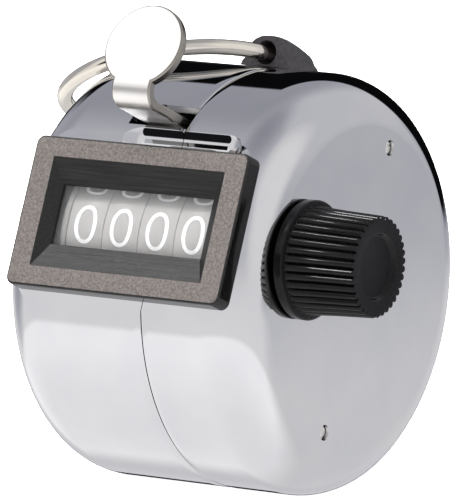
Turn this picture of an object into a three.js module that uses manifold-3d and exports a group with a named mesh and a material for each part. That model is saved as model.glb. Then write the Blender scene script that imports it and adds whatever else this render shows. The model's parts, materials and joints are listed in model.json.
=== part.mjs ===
// Hand tally counter: chromed drum in two halves, four number wheels behind a window in front,
// thumb lever on top, reset knob on the right, finger ring on a lug at the top.
// Millimetres. +X runs along the drum's axis to the knob, +Y to the back, +Z up.
// The origin is the centre of the drum's flat left end.

import * as THREE from 'three';
import { mergeVertices } from 'three/addons/utils/BufferGeometryUtils.js';
import Module from 'manifold-3d';

const wasm = await Module();
wasm.setup();

// ---- drum ----
const DRUM_R = 22.5;
const DRUM_W = 31.6;
const DRUM_FILLET = 5.6;
const WALL = 0.9;
const SEAM_X = 18.8;
const SEAM_GAP = 0.24;
const MID_X = DRUM_W / 2;

// ---- window side: frame tilted up from -Y ----
const TILT = THREE.MathUtils.degToRad(23);
const FLAT_D = 20.35;
const BEZEL_X = 16.1;
const BEZEL_W = 26.7;
const BEZEL_H = 16.3;
const BEZEL_BACK = 20.5;
const BEZEL_FRONT = 22.7;
const BEZEL_CORNER = 0.9;
const RECESS_W = 21.4;
const RECESS_H = 11.9;
const WINDOW_W = 18.8;
const WINDOW_H = 6.5;
const WINDOW_D = 21.65;
const LENS_BACK = 20.9;
const LENS_FRONT = 21.28;
const OPENING_W = 20.2;
const OPENING_H = 9.8;

// ---- oval hollow and lever slot above the window, angles from -Y upward ----
const HOLLOW_R = 3.4;
const HOLLOW_HALF = 5.2;
const HOLLOW_X = SEAM_X + 0.4;
const HOLLOW_ANGLE = THREE.MathUtils.degToRad(44.9);
const HOLLOW_AT_R = DRUM_R + 2.2;
const SLOT_FROM = THREE.MathUtils.degToRad(52.2);
const SLOT_TO = THREE.MathUtils.degToRad(60.6);
const SLOT_LEFT = 4.2;

// ---- number wheels and their shaft ----
const SHAFT_Y = -11.1;
const SHAFT_Z = 4.65;
const SHAFT_R = 1.5;
const SHAFT_BORE = 1.7;
const SHAFT_X0 = 2.2;
const SHAFT_X1 = 38.3;
const SHAFT_HOLE_R = 2.1;
const WHEEL_R = 8.7;
const WHEEL_W = 4.2;
const WHEEL_PITCH = 4.5;
const UNITS_X = 23.35;
const END_DISC_X = 6.8;
const END_DISC_T = 0.65;

// ---- knob ----
const KNOB_X0 = DRUM_W + 0.3;
const KNOB_X1 = 40.95;
const KNOB_R = 5.32;
const KNOB_BASE_R = 6.3;
const KNOB_RIBS = 36;
const KNOB_BORE = 1.68;

// ---- lever ----
const LEVER_T = 1.1;
const LEVER_W = 4.7;
const LEVER_PAD_R = 4.65;
const LEVER_PAD_Y = -17.29;
const LEVER_PAD_Z = 26.71;
const LEVER_TILT = THREE.MathUtils.degToRad(31.5);
const LEVER_BEND_R = 2.2;
const PIVOT_Y = -7.2;
const PIVOT_Z = 15.7;
const PIVOT_R = 0.9;
const LEVER_HUB_R = 2.35;
const LEVER_BORE = 1.78;
const ROCKER_TUBE_R = 1.6;

// ---- ring and lug ----
const LUG_Y = 5.95;
const LUG_Z = 21.9;
const LUG_TILT = THREE.MathUtils.degToRad(12);
const BORE_TILT = THREE.MathUtils.degToRad(20);
const BORE_R = 1.3;
const BORE_H = 1.5;
const RING_R = 12.5;
const RING_WIRE_R = 0.85;
const RING_DROOP = THREE.MathUtils.degToRad(19);
const RING_ALONG = 2.5;

// ---- inside plates, rods, pinions ----
const LEFT_PLATE_X = 3.3;
const RIGHT_PLATE_X = 28.8;
const PLATE_T = 1.0;
const PLATE_R = 19.1;
const ROD_R = 0.7;
const ROD_X0 = 1.3;
const ROD_SINK = 0.3;
const ROD_HOLE_R = 1.0;
const RODS = [[6.0, 14.3], [-6.8, -14.4]];
const PINION_Y = -0.86;
const PINION_Z = 0.92;
const PINION_SHAFT_R = 0.8;
const RATCHET_X = 26.1;
const RATCHET_T = 0.9;
const RATCHET_R = 4.4;
const PINION_R = 1.75;
const PINION_W = 2.4;
const PAWL_PIN_R = 0.45;
const PAWL_HUB_R = 1.2;
const ARM_X = 27.3;
const ARM_END_Y = -3.7;
const ARM_END_Z = 0.4;
const POST_Y = -1.2;
const POST_Z = 9.6;
const POST_R = 0.8;
const PLAY = 0.15;
const INNER_X0 = 2.8;
const INNER_X1 = 30.2;
const EAR_X = 6.2;
const EAR_W = 3.2;
const SPRING_Y = -2.0;
const SPRING_FOOT_Z = 9.1;
const SPRING_R = 1.25;
const SPRING_WIRE_R = 0.26;
const SPRING_TURNS = 5;
const SPRING_LENGTH = 5.1;
const SEAT_T = 0.8;

const group = new THREE.Group();

function ensureOutward(geometry) {
  const p = geometry.attributes.position;
  const index = geometry.index.array;
  const a = new THREE.Vector3();
  const b = new THREE.Vector3();
  const c = new THREE.Vector3();
  let volume = 0;
  for (let i = 0; i < index.length; i += 3) {
    a.fromBufferAttribute(p, index[i]);
    b.fromBufferAttribute(p, index[i + 1]);
    c.fromBufferAttribute(p, index[i + 2]);
    volume += a.dot(b.cross(c));
  }
  if (volume < 0) {
    for (let i = 0; i < index.length; i += 3) {
      [index[i + 1], index[i + 2]] = [index[i + 2], index[i + 1]];
    }
  }
  return geometry;
}

function closed(geometry) {
  geometry.deleteAttribute('normal');
  geometry.deleteAttribute('uv');
  const merged = mergeVertices(geometry, 1e-4);
  const kept = [];
  const index = merged.index.array;
  for (let i = 0; i < index.length; i += 3) {
    const [a, b, c] = [index[i], index[i + 1], index[i + 2]];
    if (a !== b && b !== c && a !== c) {
      kept.push(a, b, c);
    }
  }
  merged.setIndex(kept);
  return ensureOutward(merged);
}

function solid(geometry) {
  const g = closed(geometry);
  return new wasm.Manifold(new wasm.Mesh({
    numProp: 3,
    vertProperties: new Float32Array(g.attributes.position.array),
    triVerts: new Uint32Array(g.index.array),
  }));
}

function fromSolid(manifold) {
  const mesh = manifold.getMesh();
  const g = new THREE.BufferGeometry();
  g.setAttribute('position', new THREE.BufferAttribute(new Float32Array(mesh.vertProperties), 3));
  g.setIndex(new THREE.BufferAttribute(new Uint32Array(mesh.triVerts), 1));
  return g;
}

function add(name, shape, color, roughness, metalness) {
  const geometry = shape.isBufferGeometry ? closed(shape) : fromSolid(shape);
  geometry.computeVertexNormals();
  const material = new THREE.MeshStandardMaterial({ color, roughness, metalness });
  const mesh = new THREE.Mesh(geometry, material);
  mesh.name = name;
  group.add(mesh);
}

// Solid of revolution about the line parallel to X through (y, z); profile is [radius, x] pairs.
function revolve(profile, segments, y = 0, z = 0) {
  const points = profile.map(([r, x]) => new THREE.Vector2(r, x));
  const g = new THREE.LatheGeometry(points, segments);
  g.rotateZ(-Math.PI / 2);
  g.translate(0, y, z);
  return g;
}

function rod(radius, x0, x1, y, z, segments = 20) {
  return revolve([[0, x0], [radius, x0], [radius, x1], [0, x1]], segments, y, z);
}

// Closed tube about a line parallel to X.
function sleeve(inner, outer, x0, x1, y, z, segments = 24) {
  return revolve([[inner, x0], [outer, x0], [outer, x1], [inner, x1], [inner, x0]], segments, y, z);
}

// Outline in the YZ plane pushed along X.
function plateX(shape, x0, x1, curveSegments = 12) {
  const g = new THREE.ExtrudeGeometry(shape, { depth: x1 - x0, bevelEnabled: false, curveSegments });
  g.applyMatrix4(new THREE.Matrix4().makeBasis(
    new THREE.Vector3(0, 1, 0), new THREE.Vector3(0, 0, 1), new THREE.Vector3(1, 0, 0)));
  g.translate(x0, 0, 0);
  return g;
}

function outline(points) {
  return new THREE.Shape(points.map(([u, v]) => new THREE.Vector2(u, v)));
}

function roundedRect(width, height, radius) {
  const s = new THREE.Shape();
  const w = width / 2;
  const h = height / 2;
  s.absarc(w - radius, h - radius, radius, 0, Math.PI / 2);
  s.absarc(-w + radius, h - radius, radius, Math.PI / 2, Math.PI);
  s.absarc(-w + radius, -h + radius, radius, Math.PI, Math.PI * 1.5);
  s.absarc(w - radius, -h + radius, radius, Math.PI * 1.5, Math.PI * 2);
  return s;
}

// Window frame: local x along +X from the bezel's centre, y up the slope, z outward from the axis.
const windowFrame = new THREE.Matrix4().makeBasis(
  new THREE.Vector3(1, 0, 0),
  new THREE.Vector3(0, Math.sin(TILT), Math.cos(TILT)),
  new THREE.Vector3(0, -Math.cos(TILT), Math.sin(TILT)));
windowFrame.setPosition(BEZEL_X, 0, 0);

function windowPrism(shape, d0, d1, curveSegments = 6) {
  const g = new THREE.ExtrudeGeometry(shape, { depth: d1 - d0, bevelEnabled: false, curveSegments });
  g.translate(0, 0, d0);
  g.applyMatrix4(windowFrame);
  return g;
}

// ---------------------------------------------------------------- drum halves
function drumProfile(inset) {
  const fillet = DRUM_FILLET - inset;
  const radius = DRUM_R - inset;
  const steps = 5;
  const points = [[0, inset]];
  for (let i = 0; i <= steps; i += 1) {
    const a = (i / steps) * Math.PI / 2;
    points.push([radius - fillet + fillet * Math.sin(a), inset + fillet * (1 - Math.cos(a))]);
  }
  const mirrored = points.map(([r, x]) => [r, DRUM_W - x]).reverse();
  return points.concat(mirrored);
}

function farSideBox(distance) {
  return windowPrism(roundedRect(60, 60, 1), distance, distance + 20, 2);
}

// Oval hollow stamped into the drum above the bezel.
function hollow(grow) {
  const g = new THREE.CapsuleGeometry(HOLLOW_R + grow, 2 * HOLLOW_HALF, 8, 24, 1);
  g.rotateZ(Math.PI / 2);
  g.translate(HOLLOW_X, -Math.cos(HOLLOW_ANGLE) * HOLLOW_AT_R, Math.sin(HOLLOW_ANGLE) * HOLLOW_AT_R);
  return solid(g);
}

const DRUM_SEGMENTS = 64;
const outer = solid(revolve(drumProfile(0), DRUM_SEGMENTS))
  .subtract(solid(farSideBox(FLAT_D)))
  .subtract(hollow(0));
const inner = solid(revolve(drumProfile(WALL), DRUM_SEGMENTS))
  .subtract(solid(farSideBox(FLAT_D - WALL)))
  .subtract(hollow(0.85));
const windowOpening = solid(windowPrism(roundedRect(OPENING_W, OPENING_H, 0.8), 12, 30, 3));
const shell = outer.subtract(inner).subtract(windowOpening);

// Lever slot: from the left of the lever to the seam, along the drum's round.
const slotShape = outline([
  [-Math.cos(SLOT_FROM) * 18, Math.sin(SLOT_FROM) * 18],
  [-Math.cos(SLOT_FROM) * 25, Math.sin(SLOT_FROM) * 25],
  [-Math.cos(SLOT_TO) * 25, Math.sin(SLOT_TO) * 25],
  [-Math.cos(SLOT_TO) * 18, Math.sin(SLOT_TO) * 18],
]);
const slot = solid(plateX(slotShape, MID_X - SLOT_LEFT, SEAM_X));

// Lug frame: local x along X, y along the lug to the back, z up from its flat base.
const lugFrame = new THREE.Matrix4().makeBasis(
  new THREE.Vector3(1, 0, 0),
  new THREE.Vector3(0, Math.cos(LUG_TILT), -Math.sin(LUG_TILT)),
  new THREE.Vector3(0, Math.sin(LUG_TILT), Math.cos(LUG_TILT)));
lugFrame.setPosition(MID_X, LUG_Y, LUG_Z);

function lugRod(radius, y, z0, z1, segments = 20) {
  const g = new THREE.CylinderGeometry(radius, radius, z1 - z0, segments);
  g.rotateX(Math.PI / 2);
  g.translate(0, y, (z0 + z1) / 2);
  g.applyMatrix4(lugFrame);
  return g;
}

const STUD_ALONG = 2.6;
const studHole = solid(lugRod(1.25, STUD_ALONG, -6, 3));
const keepLeft = solid(new THREE.BoxGeometry(60, 60, 80).translate(SEAM_X - SEAM_GAP / 2 - 30, 0, 0));
const keepRight = solid(new THREE.BoxGeometry(60, 60, 80).translate(SEAM_X + SEAM_GAP / 2 + 30, 0, 0));
let rightShell = shell.intersect(keepRight);
for (const [y, z] of RODS) {
  rightShell = rightShell.subtract(solid(rod(ROD_HOLE_R, DRUM_W - 3, DRUM_W + 2, y, z)));
}
rightShell = rightShell.subtract(solid(rod(SHAFT_HOLE_R, DRUM_W - 3, DRUM_W + 2, SHAFT_Y, SHAFT_Z)));
add('left_shell', shell.intersect(keepLeft).subtract(slot).subtract(studHole), 0xb9bbc2, 0.08, 1);
add('right_shell', rightShell, 0xb9bbc2, 0.08, 1);

// ---------------------------------------------------------------- bezel and lens
function recessCutter() {
  const over = 1.0;
  const depth = BEZEL_FRONT - WINDOW_D;
  const k = (depth + over) / depth;
  const top = [WINDOW_W / 2 + (RECESS_W - WINDOW_W) / 2 * k, WINDOW_H / 2 + (RECESS_H - WINDOW_H) / 2 * k];
  const corners = [];
  for (const [w, h, d] of [[WINDOW_W / 2, WINDOW_H / 2, WINDOW_D], [top[0], top[1], BEZEL_FRONT + over]]) {
    corners.push([-w, -h, d], [w, -h, d], [w, h, d], [-w, h, d]);
  }
  const faces = [0, 2, 1, 0, 3, 2, 4, 5, 6, 4, 6, 7];
  for (let i = 0; i < 4; i += 1) {
    const j = (i + 1) % 4;
    faces.push(i, j, j + 4, i, j + 4, i + 4);
  }
  const g = new THREE.BufferGeometry();
  g.setAttribute('position', new THREE.BufferAttribute(new Float32Array(corners.flat()), 3));
  g.setIndex(faces);
  g.applyMatrix4(windowFrame);
  return g;
}

const LENS_W = 20.2;
const LENS_H = 8.4;
const bezel = solid(windowPrism(roundedRect(BEZEL_W, BEZEL_H, BEZEL_CORNER), BEZEL_BACK, BEZEL_FRONT))
  .subtract(solid(recessCutter()))
  .subtract(solid(windowPrism(roundedRect(WINDOW_W, WINDOW_H, 0.2), 18, 22, 2)))
  .subtract(solid(windowPrism(roundedRect(LENS_W + 0.3, LENS_H + 0.3, 0.5), 18, LENS_FRONT + 0.04, 3)));
add('bezel', bezel, 0x2b2827, 0.6, 0);
const lens = windowPrism(roundedRect(LENS_W, LENS_H, 0.4), LENS_BACK, LENS_FRONT, 3);
add('window_lens', lens, 0xdfe3e6, 0.05, 0);

// ---------------------------------------------------------------- number wheels
const WHEEL_NAMES = ['wheel_units', 'wheel_tens', 'wheel_hundreds', 'wheel_thousands'];
WHEEL_NAMES.forEach((name, i) => {
  const x = UNITS_X - i * WHEEL_PITCH;
  const a = x - WHEEL_W / 2;
  const b = x + WHEEL_W / 2;
  const profile = [[SHAFT_BORE, a], [WHEEL_R, a], [WHEEL_R, b], [WHEEL_R - 1, b], [WHEEL_R - 1, a + 1.2],
    [3.0, a + 1.2], [3.0, b], [SHAFT_BORE, b], [SHAFT_BORE, a]];
  add(name, revolve(profile, 40, SHAFT_Y, SHAFT_Z), 0xa9a39c, 0.5, 0);
});

// Toothed outline about a centre, tooth tips at outer, roots at root.
function toothed(teeth, outerR, root, lean, y, z, hole) {
  const s = new THREE.Shape();
  const step = (Math.PI * 2) / teeth;
  for (let i = 0; i < teeth; i += 1) {
    for (const [r, f] of [[root, 0], [outerR, lean], [outerR, lean + 0.2], [root, lean + 0.4]]) {
      const a = (i + f) * step;
      const p = [y + r * Math.cos(a), z + r * Math.sin(a)];
      if (i === 0 && f === 0) {
        s.moveTo(...p);
      } else {
        s.lineTo(...p);
      }
    }
  }
  s.closePath();
  const bore = new THREE.Path();
  bore.absarc(y, z, hole, 0, Math.PI * 2, true);
  s.holes.push(bore);
  return s;
}

const ratchet = toothed(10, RATCHET_R, 3.5, 0.55, SHAFT_Y, SHAFT_Z, SHAFT_BORE);
add('ratchet_wheel', plateX(ratchet, RATCHET_X, RATCHET_X + RATCHET_T, 10), 0xc0b070, 0.35, 1);

['transfer_pinion_a', 'transfer_pinion_b', 'transfer_pinion_c'].forEach((name, i) => {
  const x = UNITS_X - (i + 0.5) * WHEEL_PITCH;
  const teeth = toothed(8, PINION_R, 1.3, 0.2, PINION_Y, PINION_Z, 0.98);
  add(name, plateX(teeth, x - PINION_W / 2, x + PINION_W / 2, 10), 0xcdbb84, 0.4, 1);
});

// ---------------------------------------------------------------- shafts and knob
add('wheel_shaft', rod(SHAFT_R, SHAFT_X0, SHAFT_X1, SHAFT_Y, SHAFT_Z, 24), 0xb0b2b5, 0.3, 1);
const endDisc = sleeve(SHAFT_BORE, WHEEL_R, END_DISC_X, END_DISC_X + END_DISC_T, SHAFT_Y, SHAFT_Z, 40);
add('wheel_end_disc', endDisc, 0xa9a39c, 0.5, 0);
const clip = sleeve(SHAFT_R + 0.12, 2.8, SHAFT_X0 + 0.3, SHAFT_X0 + 0.9, SHAFT_Y, SHAFT_Z);
add('shaft_clip', clip, 0x8d8f92, 0.4, 1);
add('pinion_shaft', rod(PINION_SHAFT_R, INNER_X0, INNER_X1, PINION_Y, PINION_Z), 0xb0b2b5, 0.3, 1);
add('lever_pin', rod(PIVOT_R, INNER_X0, INNER_X1, PIVOT_Y, PIVOT_Z), 0xb0b2b5, 0.3, 1);

// Knob: round base, ribbed grip, shallow dish in the end, blind bore for the shaft.
const knobProfile = [
  [0, SHAFT_X1 + 0.3], [KNOB_BORE, SHAFT_X1 + 0.3], [KNOB_BORE, KNOB_X0],
  [KNOB_BASE_R, KNOB_X0], [KNOB_BASE_R, KNOB_X0 + 1.0],
  [5.75, KNOB_X0 + 1.5], [KNOB_R + 0.12, KNOB_X1 - 0.45], [KNOB_R - 0.25, KNOB_X1],
  [3.7, KNOB_X1], [3.1, KNOB_X1 - 0.45], [0, KNOB_X1 - 0.55],
];
const knob = revolve(knobProfile, KNOB_RIBS * 2, SHAFT_Y, SHAFT_Z);
const RIB_FIRST = 5;
const RIB_LAST = 6;
const GROOVE_SCALE = 0.95;
const knobPoints = knob.attributes.position;
for (let i = 1; i < KNOB_RIBS * 2; i += 2) {
  for (let j = RIB_FIRST; j <= RIB_LAST; j += 1) {
    const k = i * knobProfile.length + j;
    knobPoints.setY(k, SHAFT_Y + (knobPoints.getY(k) - SHAFT_Y) * GROOVE_SCALE);
    knobPoints.setZ(k, SHAFT_Z + (knobPoints.getZ(k) - SHAFT_Z) * GROOVE_SCALE);
  }
}
add('reset_knob', knob, 0x161616, 0.45, 0);

// ---------------------------------------------------------------- lever
// Centre line of the strip in YZ: straight behind the pad, round bend, straight to the pivot.
const padDir = new THREE.Vector2(Math.sin(LEVER_TILT), Math.cos(LEVER_TILT));
const tailAngle = THREE.MathUtils.degToRad(156.4);
const tailDir = new THREE.Vector2(Math.cos(tailAngle), Math.sin(tailAngle));
const midR = LEVER_BEND_R - LEVER_T / 2;
const padCentre = new THREE.Vector2(LEVER_PAD_Y, LEVER_PAD_Z)
  .add(new THREE.Vector2(padDir.y, -padDir.x).multiplyScalar(LEVER_T / 2));
const pivot = new THREE.Vector2(PIVOT_Y, PIVOT_Z);

// Corner where the two straight centre lines cross.
const cross = padDir.x * tailDir.y - padDir.y * tailDir.x;
const between = pivot.clone().sub(padCentre);
const along = (between.x * tailDir.y - between.y * tailDir.x) / cross;
const corner = padCentre.clone().addScaledVector(padDir, along);
const bendHalf = Math.acos(padDir.dot(tailDir.clone().negate())) / 2;
const setback = midR / Math.tan(bendHalf);
const bendStart = corner.clone().addScaledVector(padDir, setback);
const bendEnd = corner.clone().addScaledVector(tailDir.clone().negate(), setback);
const bendCentre = bendStart.clone().add(new THREE.Vector2(padDir.y, -padDir.x).multiplyScalar(midR));

function stripOutline() {
  const half = LEVER_T / 2;
  const a0 = Math.atan2(bendStart.y - bendCentre.y, bendStart.x - bendCentre.x);
  let a1 = Math.atan2(bendEnd.y - bendCentre.y, bendEnd.x - bendCentre.x);
  if (a1 < a0) {
    a1 += Math.PI * 2;
  }
  const arc = (r) => {
    const pts = [];
    const n = 8;
    for (let i = 0; i <= n; i += 1) {
      const a = a0 + (a1 - a0) * i / n;
      pts.push([bendCentre.x + r * Math.cos(a), bendCentre.y + r * Math.sin(a)]);
    }
    return pts;
  };
  const out = new THREE.Vector2(-padDir.y, padDir.x);
  const low = new THREE.Vector2(tailDir.y, -tailDir.x);
  const tailEnd = pivot.clone().addScaledVector(tailDir, 1.9);
  const lowSign = low.y < 0 ? 1 : -1;
  const front = [[padCentre.x + out.x * half, padCentre.y + out.y * half]];
  const back = [[padCentre.x - out.x * half, padCentre.y - out.y * half]];
  const tailLow = [tailEnd.x + low.x * half * lowSign, tailEnd.y + low.y * half * lowSign];
  const tailTop = [tailEnd.x - low.x * half * lowSign, tailEnd.y - low.y * half * lowSign];
  return outline([...front, ...arc(midR + half), tailLow, tailTop, ...arc(midR - half).reverse(), ...back]);
}

const padNormal = new THREE.Vector3(0, -Math.cos(LEVER_TILT), Math.sin(LEVER_TILT));
const padMatrix = new THREE.Matrix4().makeBasis(
  new THREE.Vector3(1, 0, 0), padNormal, new THREE.Vector3(1, 0, 0).cross(padNormal));
const padDisc = new THREE.CylinderGeometry(LEVER_PAD_R, LEVER_PAD_R, LEVER_T, 48);
padDisc.applyMatrix4(padMatrix);
padDisc.translate(MID_X, padCentre.x, padCentre.y);
const lever = solid(plateX(stripOutline(), MID_X - LEVER_W / 2, MID_X + LEVER_W / 2))
  .add(solid(padDisc))
  .add(solid(rod(LEVER_HUB_R, MID_X - LEVER_W / 2, MID_X + LEVER_W / 2, PIVOT_Y, PIVOT_Z, 28)))
  .subtract(solid(rod(LEVER_BORE, MID_X - LEVER_W, MID_X + LEVER_W, PIVOT_Y, PIVOT_Z, 28)));
add('thumb_lever', lever, 0xd3cec4, 0.15, 1);

// Rocker: tube on the pin, arm down to the pawl at the right, ear over the spring at the left.
const ARM_FROM = new THREE.Vector2(PIVOT_Y, PIVOT_Z);
const ARM_TO = new THREE.Vector2(ARM_END_Y, ARM_END_Z);
function link(from, to, r0, r1) {
  const dir = to.clone().sub(from).angle();
  const s = new THREE.Shape();
  s.absarc(from.x, from.y, r0, dir + Math.PI / 2, dir + Math.PI * 1.5);
  s.absarc(to.x, to.y, r1, dir - Math.PI / 2, dir + Math.PI / 2);
  return s;
}
const rocker = solid(rod(ROCKER_TUBE_R, EAR_X - EAR_W / 2, ARM_X + 0.8, PIVOT_Y, PIVOT_Z, 24))
  .add(solid(plateX(link(ARM_FROM, ARM_TO, 2.2, 1.25), ARM_X, ARM_X + 0.8, 8)))
  .add(solid(plateX(outline([[PIVOT_Y, 14.7], [-0.2, 14.7], [-0.2, 15.5], [PIVOT_Y, 16.4]]),
    EAR_X - EAR_W / 2, EAR_X + EAR_W / 2)))
  .subtract(solid(rod(PIVOT_R + PLAY, 0, DRUM_W, PIVOT_Y, PIVOT_Z)))
  .subtract(solid(rod(PAWL_PIN_R + PLAY, ARM_X - 2, ARM_X + 3, ARM_END_Y, ARM_END_Z, 14)));
add('lever_rocker', rocker, 0xa7a9ad, 0.4, 1);

// Drive pawl on its pin, tip under the ratchet.
const pawlShape = outline([
  [-10.3, -0.15], [-10.3, -0.8], [-4.4, -1.0], [-3.7, -1.0], [-3.7, 1.6], [-4.9, 0.3],
]);
const pawl = solid(plateX(pawlShape, RATCHET_X, RATCHET_X + RATCHET_T))
  .add(solid(rod(PAWL_HUB_R, RATCHET_X, RATCHET_X + RATCHET_T, ARM_END_Y, ARM_END_Z)))
  .subtract(solid(rod(PAWL_PIN_R + PLAY, RATCHET_X - 1, RATCHET_X + 2, ARM_END_Y, ARM_END_Z, 14)));
add('drive_pawl', pawl, 0x9b9da1, 0.4, 1);
add('pawl_pin', rod(PAWL_PIN_R, RATCHET_X - 0.05, ARM_X + 1.1, ARM_END_Y, ARM_END_Z, 14), 0xb0b2b5, 0.3, 1);

// Return spring, upright, pushing the rocker's ear up.
class Coil extends THREE.Curve {
  getPoint(t) {
    const a = t * Math.PI * 2 * SPRING_TURNS;
    return new THREE.Vector3(SPRING_R * Math.cos(a), SPRING_R * Math.sin(a), t * SPRING_LENGTH);
  }
}
const wire = new THREE.Shape();
wire.absarc(0, 0, SPRING_WIRE_R, 0, Math.PI * 2);
const coil = new THREE.ExtrudeGeometry(wire, {
  extrudePath: new Coil(), steps: 60, bevelEnabled: false, curveSegments: 3,
});
coil.translate(EAR_X, SPRING_Y, SPRING_FOOT_Z);
add('return_spring', coil, 0xb6b8bb, 0.3, 1);

// Leaf spring that stops the ratchet running back, and its post.
const LEAF_X0 = RATCHET_X + 0.05;
const LEAF_X1 = RATCHET_X + RATCHET_T - 0.05;
const leafShape = outline([[-8.1, 8.35], [-8.1, 8.75], [POST_Y, 10.9], [POST_Y, 10.4]]);
const leaf = solid(plateX(leafShape, LEAF_X0, LEAF_X1))
  .add(solid(rod(POST_R + 0.5, LEAF_X0, LEAF_X1, POST_Y, POST_Z)))
  .subtract(solid(rod(POST_R + PLAY, LEAF_X0 - 1, LEAF_X1 + 1, POST_Y, POST_Z)));
add('detent_spring', leaf, 0xb6b8bb, 0.3, 1);
add('detent_post', rod(POST_R, LEAF_X0 - 0.1, INNER_X1, POST_Y, POST_Z), 0xb0b2b5, 0.3, 1);

// ---------------------------------------------------------------- side plates and rods
function sidePlate(x, holes, extra) {
  let plate = solid(rod(PLATE_R, x, x + PLATE_T, 0, 0, 48));
  if (extra) {
    plate = plate.add(extra);
  }
  for (const [r, y, z] of holes) {
    plate = plate.subtract(solid(rod(r, x - 1, x + PLATE_T + 1, y, z)));
  }
  const relief = new THREE.Shape();
  relief.absarc(7.5, -3.5, 6.5, 0, Math.PI * 2);
  return plate.subtract(solid(plateX(relief, x - 1, x + PLATE_T + 1, 24)));
}

const plateHoles = [
  [SHAFT_R + PLAY, SHAFT_Y, SHAFT_Z],
  [PINION_SHAFT_R + PLAY, PINION_Y, PINION_Z],
  [PIVOT_R + PLAY, PIVOT_Y, PIVOT_Z],
];
for (const [y, z] of RODS) {
  plateHoles.push([ROD_R + PLAY, y, z]);
}
const springSeat = solid(new THREE.BoxGeometry(4.3, 3.6, SEAT_T)
  .translate(EAR_X - 0.45, SPRING_Y, SPRING_FOOT_Z - SEAT_T))
  .subtract(solid(rod(WHEEL_R + 0.4, LEFT_PLATE_X + PLATE_T, UNITS_X, SHAFT_Y, SHAFT_Z, 40)));
add('left_plate', sidePlate(LEFT_PLATE_X, plateHoles, springSeat), 0x9ea1a5, 0.45, 1);
const postHole = [POST_R + PLAY, POST_Y, POST_Z];
add('right_plate', sidePlate(RIGHT_PLATE_X, [...plateHoles, postHole]), 0x9ea1a5, 0.45, 1);
add('tie_rod_upper', rod(ROD_R, ROD_X0, DRUM_W - ROD_SINK, ...RODS[0]), 0x8f8f8c, 0.35, 1);
add('tie_rod_lower', rod(ROD_R, ROD_X0, DRUM_W - ROD_SINK, ...RODS[1]), 0x8f8f8c, 0.35, 1);

// ---------------------------------------------------------------- ring lug, washer, ring
// Side view of the lug in its own frame: upright front, back sloping down to a rounded end.
function lugBody() {
  const side = new THREE.Shape();
  side.moveTo(0, 0);
  side.lineTo(6.1, 0);
  side.lineTo(6.1, 0.35);
  side.quadraticCurveTo(5.9, 1.3, 5.1, 1.75);
  side.lineTo(1.3, 3.35);
  side.quadraticCurveTo(0.7, 3.45, 0, 3.3);
  const g = new THREE.ExtrudeGeometry(side, { depth: 8, bevelEnabled: false, curveSegments: 5 });
  g.translate(0, 0, -4);
  g.applyMatrix4(new THREE.Matrix4().makeBasis(
    new THREE.Vector3(0, 1, 0), new THREE.Vector3(0, 0, 1), new THREE.Vector3(1, 0, 0)));
  g.applyMatrix4(lugFrame);
  return solid(g);
}

// Front view: small feet at the base, straight sides, round top.
function lugFront() {
  const s = new THREE.Shape();
  s.moveTo(-3.05, 0);
  s.lineTo(3.05, 0);
  s.lineTo(2.9, 0.5);
  s.lineTo(2.55, 0.85);
  s.lineTo(2.45, 1.5);
  s.quadraticCurveTo(2.1, 3.3, 0.2, 3.4);
  s.quadraticCurveTo(-1.9, 3.3, -2.45, 1.5);
  s.lineTo(-2.55, 0.85);
  s.lineTo(-2.9, 0.5);
  const g = new THREE.ExtrudeGeometry(s, { depth: 7, bevelEnabled: false, curveSegments: 8 });
  g.applyMatrix4(new THREE.Matrix4().makeBasis(
    new THREE.Vector3(1, 0, 0), new THREE.Vector3(0, 0, 1), new THREE.Vector3(0, -1, 0)));
  g.translate(0, 6.6, 0);
  g.applyMatrix4(lugFrame);
  return solid(g);
}

const boreDir = new THREE.Vector3(0, Math.cos(BORE_TILT), -Math.sin(BORE_TILT));
const boreMouth = new THREE.Vector3(0, 0, BORE_H).applyMatrix4(lugFrame);
const boreCentre = boreMouth.clone().addScaledVector(boreDir, RING_ALONG);
const bore = new THREE.CylinderGeometry(BORE_R, BORE_R, 16, 28);
bore.applyMatrix4(new THREE.Matrix4().makeBasis(
  new THREE.Vector3(1, 0, 0), boreDir, new THREE.Vector3(1, 0, 0).cross(boreDir)));
bore.translate(boreCentre.x, boreCentre.y, boreCentre.z);
const lug = lugBody().intersect(lugFront())
  .add(solid(lugRod(1.05, STUD_ALONG, -2.6, 0.2)))
  .subtract(solid(bore));
add('ring_lug', lug, 0x3a3735, 0.65, 0);

const washerRing = new THREE.Shape();
washerRing.absarc(0, 0, 2.1, 0, Math.PI * 2);
const washerHole = new THREE.Path();
washerHole.absarc(0, 0, 1.2, 0, Math.PI * 2, true);
washerRing.holes.push(washerHole);
const washer = new THREE.ExtrudeGeometry(washerRing, { depth: 0.5, bevelEnabled: false, curveSegments: 10 });
washer.translate(0, STUD_ALONG, -2.45);
washer.applyMatrix4(lugFrame);
add('lug_washer', washer, 0x9a9a98, 0.4, 1);

const droop = new THREE.Vector3(-Math.cos(RING_DROOP), 0, 0)
  .addScaledVector(new THREE.Vector3(0, Math.sin(BORE_TILT), Math.cos(BORE_TILT)), -Math.sin(RING_DROOP));
const ringCentre = boreCentre.clone().addScaledVector(droop, RING_R - 0.06);
const ring = new THREE.TorusGeometry(RING_R, RING_WIRE_R, 12, 64);
ring.applyMatrix4(new THREE.Matrix4().makeBasis(droop, boreDir, droop.clone().cross(boreDir)));
ring.translate(ringCentre.x, ringCentre.y, ringCentre.z);
add('finger_ring', ring, 0xcfc6b6, 0.18, 1);

export default group;
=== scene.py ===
"""Hand tally counter: its looks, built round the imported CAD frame.

Row frame: +X along the drum to the knob, +Y to the back, +Z up; the origin is the
centre of the drum's left end. Sizes below are in millimetres and are turned into
metres where a mesh is made. The scene has no random draws.
"""
import json
import math

import bmesh
import bpy
import numpy as np
from mathutils import Matrix, Vector


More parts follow.
